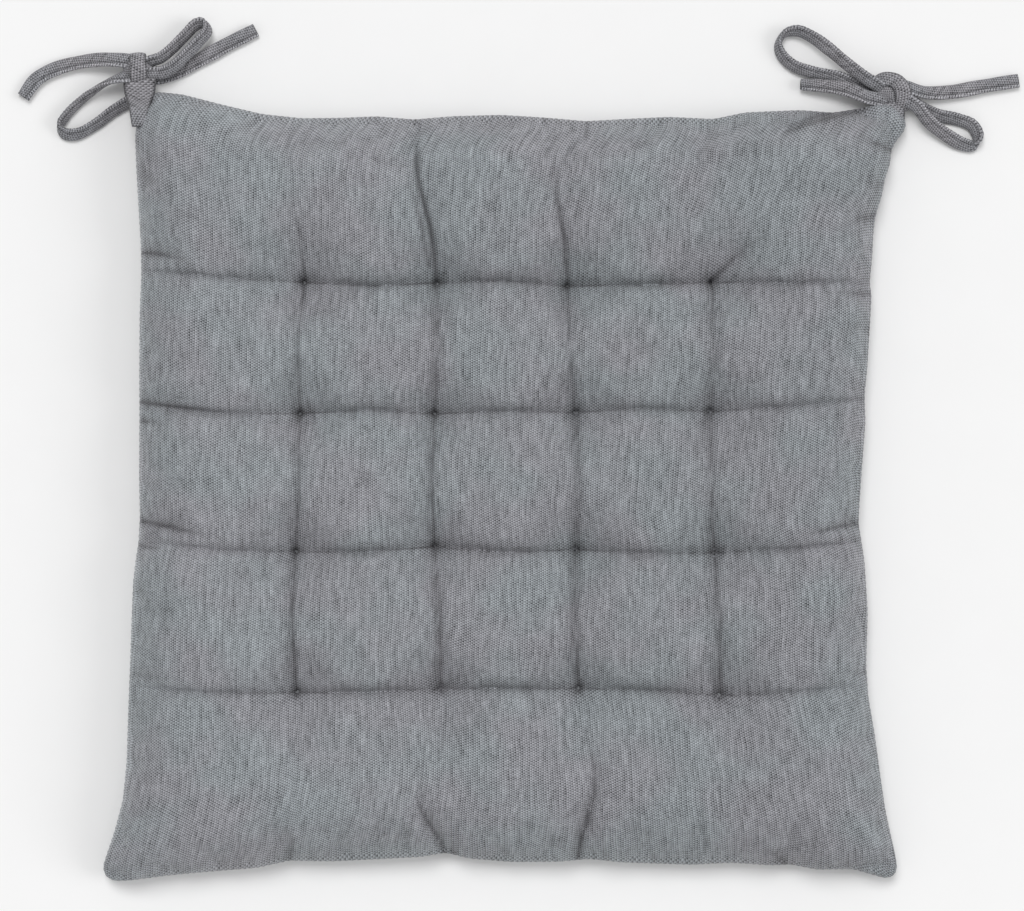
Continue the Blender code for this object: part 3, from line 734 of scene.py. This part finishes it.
# Along each row of tufts: where its crease ends at the sides, how far it sags below a straight
# line half way between its stops, and its depth at each stop and half way to the next.
ROW_STARTS = [(-183, 110), (-182, 41), (-182, -25), (-186, -97)]
ROW_ENDS = [(184, 103), (181, 46), (179, -25), (184, -96)]
ROW_SAGS = [
    (1.5, 2.2, -1.5, 1.0, 1.0), (1.5, -1.6, -1.0, -1.8, 1.0), (1.5, 1.2, 1.8, 1.0, 1.0),
    (1.5, 0.5, -0.6, -1.5, 1.0),
]
ROW_DEPTHS = [
    (1.2, 2.6, 5.6, 4.6, 5.6, 4.6, 5.6, 4.8, 5.6, 3.0, 1.6),
    (1.8, 0.9, 4.6, 3.2, 5.2, 3.4, 4.8, 3.2, 4.8, 2.2, 0.8),
    (0.8, 0.9, 4.2, 3.4, 5.2, 4.0, 5.0, 3.0, 4.6, 2.2, 1.6),
    (0.7, 1.6, 4.6, 3.6, 5.2, 4.2, 5.0, 3.6, 4.6, 1.6, 0.8),
]
# How far a column's creases bow to one side.
BOW = 1.2


def halfway(a, b, aside=0.0, sag=0.0):
    """The point half way between two, moved aside and down the plan."""
    return (a[0] + b[0]) / 2 + aside, (a[1] + b[1]) / 2 - sag


def row_lines():
    """The four long creases along the tuft rows, out to both side edges, with their depths."""
    found = []
    for first, tufts, last, sags, depths in zip(ROW_STARTS, TUFTS, ROW_ENDS, ROW_SAGS, ROW_DEPTHS):
        line = [first]
        for stop, sag in zip([*tufts, last], sags):
            line += [halfway(line[-1], stop, sag=sag), stop]
        found.append((line, depths))
    return found


def column_lines(i):
    """The three short creases down a column of tufts, bowed to one side and the other in turn."""
    for j in range(3):
        above, below = TUFTS[j][i], TUFTS[j + 1][i]
        yield [above, halfway(above, below, BOW if (i + j) % 2 else -BOW), below]


# Single folds: points in plan, depths along them, reach and how rounded the bottom is.
FOLDS = [
    ([(-32, 103), (-35, 130), (-41, 152), (-43, 175)], (4.0, 4.4, 3.4, 0.6), 4.0, 0.6),
    ([(-36, 112), (-40, 135), (-46, 155)], (2.0, 2.4, 0.6), 8.0, 3.0),
    ([(33, 102), (31, 125), (27, 148), (26, 163)], (3.4, 3.2, 1.8, 0.3), 4.0, 0.8),
    ([(-98, 104), (-100, 128), (-104, 146)], (2.4, 1.6, 0.3), 5.0, 1.5),
    ([(104, 104), (113, 113), (129, 128)], (3.2, 2.4, 0.4), 4.0, 0.8),
    ([(141, 178), (160, 185), (183, 191)], (2.5, 5.0, 3.0), 3.5, 1.0),
    ([(143, 181), (160, 187.5), (180, 192)], (2.0, 3.4, 2.0), 4.0, 2.0),
    ([(-180, 119), (-168, 117), (-156, 114)], (4.6, 3.2, 0.4), 3.2, 0.4),
    ([(-180, 44), (-158, 41), (-131, 38)], (5.0, 3.6, 0.4), 3.2, 0.4),
    ([(-180, 35), (-168, 33)], (3.6, 0.4), 2.6, 0.4),
    ([(-181, -15), (-164, -18), (-146, -22)], (5.0, 3.8, 0.4), 3.2, 0.4),
    ([(-183, -27), (-170, -29)], (3.6, 0.4), 2.6, 0.4),
    ([(-185, -92), (-168, -93)], (1.6, 0.2), 3.5, 0.8),
    ([(-106, -186), (-105, -176), (-104, -168)], (3.0, 1.4, 0.1), 4.0, 1.0),
    ([(-28, -181), (-32, -172), (-38, -161), (-43, -149)], (6.0, 4.6, 2.2, 0.2), 3.6, 0.5),
    ([(-24, -181), (-26, -173)], (3.0, 0.2), 3.0, 0.5),
    ([(38, -184), (40, -170), (46, -150), (46, -136), (42, -122)], (5.0, 4.2, 3.2, 1.8, 0.1), 3.6, 0.6),
    ([(143, -188), (137, -181), (128, -178)], (5.0, 2.6, 0.2), 3.4, 0.5),
    ([(-42, 186), (-40, 176)], (2.4, 0.2), 3.5, 0.8),
    ([(-62, 187), (-60, 178)], (1.6, 0.2), 3.5, 0.8),
    ([(42, 185), (42, 176)], (1.8, 0.2), 3.5, 0.8),
    ([(22, 186), (23, 177)], (1.4, 0.2), 3.5, 0.8),
    ([(188, 138), (176, 134), (160, 128)], (3.0, 1.4, 0.1), 4.0, 0.8),
    ([(192, 154), (182, 150)], (2.4, 0.2), 3.5, 0.8),
    ([(196, 170), (186, 172), (176, 176)], (4.0, 3.0, 0.4), 4.0, 0.8),
    ([(184, 98), (172, 98), (160, 99)], (2.8, 1.6, 0.2), 3.5, 0.8),
    ([(181, 46), (170, 45), (156, 42)], (2.6, 1.4, 0.1), 3.5, 0.8),
    ([(179, -16), (166, -18), (150, -22)], (4.6, 3.2, 0.3), 3.4, 0.5),
    ([(182, -90), (170, -94)], (2.0, 0.2), 3.5, 0.8),
    ([(186, -122), (176, -124)], (1.4, 0.1), 3.5, 0.8),
    ([(190, -150), (180, -150)], (1.2, 0.1), 3.5, 0.8),
]


def painted_crease_shade(x, y):
    """How dark the painted shade is down in a crease, from 0 to 1: on the line, and fading beside it.
    """
    mark = np.zeros(x.shape)
    for line, depths in row_lines():
        share = [min(1.0, d / 5.0) for d in depths]
        mark = np.maximum(mark, crease(x, y, line, share, 0.42, 0.1))
        # Painted shade: a softer band just behind each row crease, on the slope that faces away from
        # the light.
        behind = crease(x, y - 2.0, line, [d * 0.28 for d in share], 2.6, 0.8)
        mark = np.maximum(mark, behind)
    for i in range(4):
        for j, line in enumerate(column_lines(i)):
            share = (0.75, 0.2 + 0.25 * j, 0.95)
            mark = np.maximum(mark, crease(x, y, line, share, 0.8, 0.3))
            # Painted shade: a softer band just left of each column crease.
            beside = crease(x + 1.6, y, line, [d * 0.5 for d in share], 2.2, 0.6)
            mark = np.maximum(mark, beside)
    # Painted shade in the dent at each tuft.
    for away in from_tufts(x, y, 1.7):
        mark = np.maximum(mark, np.exp(-((away / 1.5) ** 2)))
    # Painted shade along the single folds.
    for line, depths, _, _ in FOLDS:
        share = [min(0.9, d / 4.2) for d in depths]
        mark = np.maximum(mark, crease(x, y, line, share, 1.0, 0.4))
    return mark


def top_height(u, v, x, y):
    """The top's height: the pillow less its tufts, row creases, column valleys and folds."""
    rim = seam_height(u, v)
    # The back right corner is a thin ear that the right bow lies on.
    ear = np.exp(-((np.hypot(x - 199, y - 190) / 15) ** 2))
    edge = rounded_edge(u, v, EDGE_REACH) * (1 - 0.75 * ear)
    lump = 0.7 * np.sin(x / 21 + 1.3) * np.sin(y / 26 + 0.4) + 0.5 * np.sin(x / 13 - y / 17)
    dent = np.zeros(x.shape)
    for line, depths in row_lines():
        dent += crease(x, y, line, [d * 0.62 for d in depths], 10.0, 0.5)
        dent += crease(x, y, line, [d * 0.42 + 0.3 for d in depths], 2.6, 0.3)
    for i in range(4):
        for line in column_lines(i):
            dent += crease(x, y, line, (2.6, 2.2, 2.6), 11.0, 2.0)
            dent += crease(x, y, line, (1.6, 0.5, 1.6), 2.4, 0.5)
        # A valley runs on from the column's two outer tufts to the front and the back.
        for tuft, far, fading in ((TUFTS[3][i], -150, 0.4), (TUFTS[0][i], 150, 0.6)):
            dent += crease(x, y, [tuft, (tuft[0], far)], (2.6, fading), 11.0, 3.5)
    for row, (line, _) in enumerate(row_lines()):
        # The cloth is gathered into small puckers along a row.
        near = crease(x, y, line, (1.0, 1.0), 3.2, 0.3)
        ripple = np.sin(x / 1.35 + 2.0 * row + 1.5 * np.sin(x / 9.0))
        dent += 0.32 * ripple * near * (0.55 + 0.45 * np.sin(x / 15.0 + row))
    for away in from_tufts(x, y):
        dent += 3.4 * np.exp(-away / 10) + 3.4 * np.exp(-((away / 2.1) ** 2))
    height = rim + (CROWN + lump - rim) * edge - dent * np.clip(edge * 1.8 + 0.15, 0, 1)
    for line, depths, reach, sharp in FOLDS:
        height -= crease(x, y, line, depths, reach, sharp) * np.clip(edge * 2.6 + 0.2, 0, 1)
    return np.maximum(height, rim * 0.9 + 0.6)


def lines(count, closer):
    """Shares from 0 to 1, closer together near the given shares."""
    fine = np.linspace(0, 1, 2000)
    density = 1 + sum(1.9 * np.exp(-(((fine - c) / 0.022) ** 2)) for c in closer)
    density = density + 1.5 * np.exp(-fine / 0.02) + 1.5 * np.exp(-(1 - fine) / 0.02)
    total = np.concatenate([[0], np.cumsum((density[1:] + density[:-1]) / 2)])
    return np.interp(np.linspace(0, 1, count), total / total[-1], fine)


GRID = 257
# The grid's lines across and back, closer together at the tufts.
U_LINES = lines(GRID, [0.215, 0.392, 0.572, 0.757])
V_LINES = lines(GRID, [0.245, 0.430, 0.610, 0.785])
LAST_FRAME = 20
# The most that the simulation may move the cloth.
MOST_MOVED = 4.0


def simulate(points, pins):
    """Cloth under pressure on a grid of points in millimetres, simulated at ten times its size:
    how far each point moves."""
    size = points.shape[0]
    scale = 0.01
    mesh = bpy.data.meshes.new("simulated")
    mesh.from_pydata((points.reshape(-1, 3) * scale).tolist(), [], grid_quads(size, size).tolist())
    made = bpy.data.objects.new("simulated", mesh)
    bpy.context.scene.collection.objects.link(made)
    group = made.vertex_groups.new(name="pins")
    levels = np.round(pins.ravel(), 1)
    for level in np.unique(levels[levels > 0]):
        group.add(np.nonzero(levels == level)[0].tolist(), float(level), "REPLACE")
    cloth = made.modifiers.new("cloth", "CLOTH")
    settings = cloth.settings
    settings.quality = 6
    settings.mass = 0.05
    settings.tension_stiffness = 12
    settings.compression_stiffness = 12
    settings.shear_stiffness = 4
    settings.bending_stiffness = 0.06
    settings.use_pressure = True
    settings.uniform_pressure_force = 4.0
    settings.vertex_group_mass = "pins"
    settings.shrink_min = -0.035
    settings.shrink_max = -0.035
    settings.effector_weights.gravity = 0.0
    cloth.collision_settings.use_collision = False
    cloth.collision_settings.use_self_collision = False
    scene = bpy.context.scene
    scene.frame_start, scene.frame_end = 1, LAST_FRAME
    cloth.point_cache.frame_start, cloth.point_cache.frame_end = 1, LAST_FRAME
    for number in range(1, LAST_FRAME + 1):
        scene.frame_set(number)
    evaluated = made.evaluated_get(bpy.context.evaluated_depsgraph_get())
    result = np.zeros(size * size * 3, np.float32)
    evaluated.data.vertices.foreach_get("co", result)
    moved = result.reshape(size, size, 3).astype(float) / scale - points
    scene.frame_set(1)
    bpy.data.objects.remove(made, do_unlink=True)
    return moved


def finer(values):
    """Numbers on every second grid line, worked out on all of them."""
    rows = np.array([np.interp(U_LINES, U_LINES[::2], row) for row in values])
    return np.array([np.interp(V_LINES, V_LINES[::2], column) for column in rows.T]).T


def pad_top():
    """The top's points in millimetres, in rows, with the wrinkles of the cloth. The simulation runs
    on every second point, held at the rim and the tufts, and the row creases keep their shape."""
    u, v = np.meshgrid(U_LINES, V_LINES)
    x, y = plan(u, v)
    z = top_height(u, v, x, y)
    points = np.stack([x, y, z], axis=-1)
    coarse = points[::2, ::2]
    pins = np.zeros(coarse.shape[:2])
    for away in from_tufts(coarse[..., 0], coarse[..., 1]):
        pins = np.maximum(pins, np.clip(1.6 - away / 4, 0, 1))
    pins[0] = pins[-1] = pins[:, 0] = pins[:, -1] = 1.0
    moved = simulate(coarse, pins)
    far = np.linalg.norm(moved, axis=-1, keepdims=True)
    moved = moved * np.minimum(1, MOST_MOVED / np.maximum(far, 1e-6))
    fine = np.stack([finer(moved[..., i]) for i in range(3)], axis=-1)
    keep = np.ones(u.shape)
    for line, _ in row_lines():
        keep = np.minimum(keep, 1 - crease(x, y, line, (0.75, 0.75), 3.0, 0.5))
    return points + fine * keep[..., None]


def border_of(rows, columns, start=0):
    """The rim of a grid of points, once round."""
    index = start + np.arange(rows * columns).reshape(rows, columns)
    return np.concatenate([index[0, :-1], index[:-1, -1], index[-1, :0:-1], index[:0:-1, 0]])


def pad_layer(name, node, upper, lower, uv, material, marks=None):
    """A closed layer of the pad between two grids of points, in place of a plain one; the lower
    grid may have every second point."""
    rows, columns = upper.shape[:2]
    count = rows * columns
    few_rows, few_columns = lower.shape[:2]
    step = (rows - 1) // (few_rows - 1)
    quads = [grid_quads(rows, columns), grid_quads(few_rows, few_columns, count, flip=True)]
    border = border_of(rows, columns)
    near = border_of(few_rows, few_columns, count)
    sides = [np.roll(border, -i)[::step] for i in range(step + 1)]
    wall = np.column_stack([*sides, np.roll(near, -1), near])[:, ::-1]
    points = np.vstack([upper.reshape(-1, 3), lower.reshape(-1, 3)])
    places = np.vstack([uv.reshape(-1, 2), uv[::step, ::step].reshape(-1, 2)])
    marks = {
        key: np.concatenate([value.ravel(), value[::step, ::step].ravel()])
        for key, value in (marks or {}).items()
    }
    made = add_mesh(name, points, np.vstack(quads), places, material, wall.tolist(), marks)
    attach(made, "pad")
    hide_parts(node)


def pad_bottom():
    """The underside's points: flat on the table, dimpled at the tufts, rounded up to the seam."""
    u, v = np.meshgrid(U_LINES[::2], V_LINES[::2])
    x, y = plan(u, v)
    rim = seam_height(u, v) - 0.9
    edge = rounded_edge(u, v, UNDER_REACH)
    dent = np.zeros(x.shape)
    for away in from_tufts(x, y):
        dent += 1.6 * np.exp(-away / 9) + 2.2 * np.exp(-((away / 4) ** 2))
    for line, depths in row_lines():
        dent += crease(x, y, line, [d * 0.25 for d in depths], 7.0, 1.5)
    base = TABLE_GAP + dent * edge
    z = base + (rim - base) * (1 - edge)
    return np.stack([x, y, z], axis=-1)


def off_surface(points, distance):
    """The points moved off their surface, up by distance or down by a negative one."""
    across = np.gradient(points, axis=1)
    back = np.gradient(points, axis=0)
    return points + unit(np.cross(across, back)) * distance


def lowest(z, reach):
    """Each point's lowest neighbour within reach steps, along one axis and then the other."""
    for _ in range(2):
        padded = np.pad(z, ((reach, reach), (0, 0)), "edge")
        z = np.min([padded[i : i + len(z)] for i in range(2 * reach + 1)], axis=0).T
    return z


def make_pad(cloth, fibre):
    """The two panels and the filling between them; returns the top's points."""
    top = pad_top()
    u, v = np.meshgrid(U_LINES, V_LINES)
    flat = np.stack([(u - 0.5) * FLAT_WIDTH, (v - 0.5) * FLAT_DEPTH], axis=-1)
    rim = np.zeros(u.shape, bool)
    rim[0, :] = rim[-1, :] = rim[:, 0] = rim[:, -1] = True
    raised = top.copy()
    raised[rim, 2] += 0.35
    lowered = off_surface(top, -SKIN)
    lowered[rim] = top[rim] + [0, 0, -0.25]
    # A painted highlight along the pad's left rim, laid through the lip mark.
    left_rim_highlight = np.clip(1.3 - u / 0.004, 0, 1)
    pad_layer(
        "top_panel_cloth", "top_panel", raised, lowered[::2, ::2], flat, cloth,
        {"painted_shade": painted_crease_shade(top[..., 0], top[..., 1]), "lip": left_rim_highlight},
    )
    bottom = pad_bottom()
    upper = off_surface(bottom, SKIN)
    small_rim = rim[::2, ::2]
    upper[small_rim] = bottom[small_rim] + [0, 0, 0.3]
    pad_layer(
        "bottom_panel_cloth", "bottom_panel", upper, bottom, flat[::2, ::2], cloth
    )
    # The filling stays clear of both panels, also in their creases and at the tufts.
    ceiling = top.copy()
    ceiling[..., 2] = lowest(top[..., 2], 5) - SKIN - 1.0
    ceiling = ceiling[::4, ::4]
    ground = bottom.copy()
    ground[..., 2] = SKIN + 0.8 - lowest(-bottom[..., 2], 4)
    ground = ground[::2, ::2]
    middle = (ceiling[..., 2] + ground[..., 2]) / 2
    ceiling[..., 2] = np.maximum(ceiling[..., 2], middle + 0.2)
    ground[..., 2] = np.minimum(ground[..., 2], middle - 0.2)
    centre = ceiling.mean((0, 1))[:2]
    for part in (ceiling, ground):
        part[..., :2] = centre + (part[..., :2] - centre) * 0.975
    ground[..., 2] = np.maximum(ground[..., 2], 1.6)
    pad_layer("filling_fibre", "filling", ceiling, ground, ceiling[..., :2], fibre)
    return top


THREAD_RADIUS = 0.42


def make_seam(top, material):
    """The thread round the rim: a rope of small stitches where the two panels meet."""
    loop = top.reshape(-1, 3)[border_of(*top.shape[:2])]
    loop[:, 2] -= 0.55
    closed = np.vstack([loop, loop[:1]])
    run = run_along(closed)
    count = round(run[-1] / 0.8)
    steps = np.linspace(0, run[-1], count, endpoint=False)
    centre = np.column_stack([np.interp(steps, run, closed[:, i]) for i in range(3)])
    along = unit(np.roll(centre, -1, axis=0) - np.roll(centre, 1, axis=0))
    up = np.array([0.0, 0.0, 1.0])
    out = unit(np.cross(along, up))
    lift = np.cross(out, along)
    ring = 10
    angle = np.linspace(0, 2 * np.pi, ring, endpoint=False)
    radius = THREAD_RADIUS * (1 + 0.22 * np.sin(steps * (2 * np.pi / 3.2)))[:, None]
    points = centre[:, None, :] + (radius * np.cos(angle))[:, :, None] * out[:, None, :]
    points = points + (radius * np.sin(angle))[:, :, None] * lift[:, None, :]
    points = points - out[:, None, :] * 0.25
    quads = grid_quads(count + 1, ring, wrap=True, flip=True) % (count * ring)
    uv = np.column_stack([np.repeat(steps, ring), np.tile(angle * THREAD_RADIUS, count)])
    made = add_mesh("edge_seam_thread", points.reshape(-1, 3), quads, uv, material)
    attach(made, "pad")
    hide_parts("edge_seam")


def surface_level(top, x, y):
    """The top's height at the nearest grid point."""
    away = np.hypot(top[..., 0] - x, top[..., 1] - y)
    return float(top[..., 2][np.unravel_index(away.argmin(), away.shape)])


def make_stitch(row, column, top, material):
    """One tuft's thread: a small loop on top, a column through the pad and a knot below."""
    cx, cy = TUFTS[row][column]
    level = surface_level(top, cx, cy)
    turn = rng.uniform(0, math.pi)
    c, s = math.cos(turn), math.sin(turn)
    route = [
        (cx - c * 1.3, cy - s * 1.3, level + 0.1),
        (cx - c * 0.8 - s * 0.3, cy - s * 0.8 + c * 0.3, level + 0.9),
        (cx + s * 0.2, cy - c * 0.2, level + 1.1),
        (cx + c * 0.8 - s * 0.2, cy + s * 0.8 + c * 0.2, level + 0.9),
        (cx + c * 1.2, cy + s * 1.2, level - 0.1),
        (cx + c * 0.4, cy + s * 0.4, level - 2.0),
        (cx, cy, level - 6.0),
        (cx, cy, 5.0),
        (cx, cy, 3.2),
        (cx + c * 0.9, cy + s * 0.9, 2.4),
        (cx - c * 0.9, cy - s * 0.9, 2.2),
    ]
    made, _, _ = tape(
        f"tuft_thread_{row + 1}{column + 1}", route, [(s, -c, 0.05)] * 2, material,
        widths=(0.95,), thick=0.8, seam=False, spacing=0.5, lift=False,
    )
    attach(made, "pad")
    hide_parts(f"tuft_stitch_{row + 1}{column + 1}")


def make_tabs(top, material):
    """The cloth stems that join each corner to its knot."""
    low = surface_level(top, -180, 184)
    route = [
        (-180.4, 181.5, low + 1.2), (-180.6, 188.0, surface_level(top, -179, 188) + 1.9),
        (-180.9, 195.0, surface_level(top, -178, 194) + 2.2), (-181.2, 201.0, 9.6),
        (-181.4, 206.0, 8.6),
    ]
    tab, _, _ = tape(
        "left_stems_cloth", route, [(1, 0, 0.05)] * 2, material,
        widths=(7.6, 9.8, 12.4, 14.8, 16.6), thick=3.0, seam=False, lift=False,
    )
    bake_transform(tab)
    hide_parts("left_stem_left", "left_stem_right")
    route = [(197.0, 181.0, 7.6), (197.0, 186.0, 7.4), (196.4, 190.0, 7.6), (195.8, 194.5, 8.0)]
    tab, _, _ = tape(
        "right_stems_cloth", route, [(1, 0, 0)] * 2, material,
        widths=(9.0, 10.5, 12.0, 13.0), thick=2.8, seam=False, lift=False,
    )
    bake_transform(tab)
    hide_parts("right_stem_left", "right_stem_right")


# --- Light -----------------------------------------------------------------------------------


def make_light():
    """A pale floor under even light, with a soft sun from behind and a weaker one from the right."""
    mesh = bpy.data.meshes.new("floor")
    mesh.from_pydata([(-4, -4, 0), (4, -4, 0), (4, 4, 0), (-4, 4, 0)], [], [(0, 1, 2, 3)])
    mesh.materials.append(floor_material())
    floor = bpy.data.objects.new("floor", mesh)
    bpy.context.scene.collection.objects.link(floor)
    world = bpy.data.worlds.new("studio")
    world.use_nodes = True
    world.node_tree.nodes["Background"].inputs["Color"].default_value = (1.0, 1.0, 1.0, 1.0)
    world.node_tree.nodes["Background"].inputs["Strength"].default_value = 0.5
    bpy.context.scene.world = world
    for name, power, angle, direction in (
        ("key", 1.3, 26, (0.1, -0.4, -0.9)),
        ("side", 0.68, 30, (-0.95, 0.05, -0.7)),
    ):
        data = bpy.data.lights.new(name, "SUN")
        data.energy = power
        data.angle = math.radians(angle)
        lamp = bpy.data.objects.new(name, data)
        aim = np.array(direction) / np.linalg.norm(direction)
        lamp.rotation_mode = "QUATERNION"
        lamp.rotation_quaternion = Vector(aim).to_track_quat("-Z", "Y")
        bpy.context.scene.collection.objects.link(lamp)
    settings = bpy.context.scene.view_settings
    settings.view_transform = "Standard"
    settings.look = "None"


def main():
    """The bows, the pad and its threads, in the camera's light."""
    make_camera()
    tape_cloth = cloth_material("tie tape", TIE_COLOURS, 0.98, 0.7, 0.4, turn=0.75, lift=0.2)
    make_runs("left", LEFT_KNOT, LEFT_ROUTES, LEFT_LEANS, tape_cloth)
    make_runs("right", RIGHT_KNOT, RIGHT_ROUTES, RIGHT_LEANS, tape_cloth)
    for side, (band, core) in (
        ("left", make_left_knot(tape_cloth)), ("right", make_right_knot(tape_cloth)),
    ):
        for piece in (band, core):
            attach(piece, f"{side}_bow")
        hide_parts(f"{side}_knot")
    # The pad's cloth gets painted shade that darkens it towards the right.
    cloth = cloth_material("pad cloth", PAD_COLOURS, 1.19, 0.65, 0.36, sewn=0.0, painted_falloff=0.00022)
    fibre = fibre_material("polyester fibre")
    seam_thread = thread_material("seam thread", (0.2, 0.21, 0.225), 1.6)
    tuft_thread = thread_material("tuft thread", (0.42, 0.44, 0.46), 0.7)
    top = make_pad(cloth, fibre)
    make_seam(top, seam_thread)
    for row in range(4):
        for column in range(4):
            make_stitch(row, column, top, tuft_thread)
    stem_cloth = cloth_material("stem cloth", TIE_COLOURS, 0.95, 0.7, 0.4, turn=1.1, lift=0.16)
    make_tabs(top, stem_cloth)
    make_light()


main()
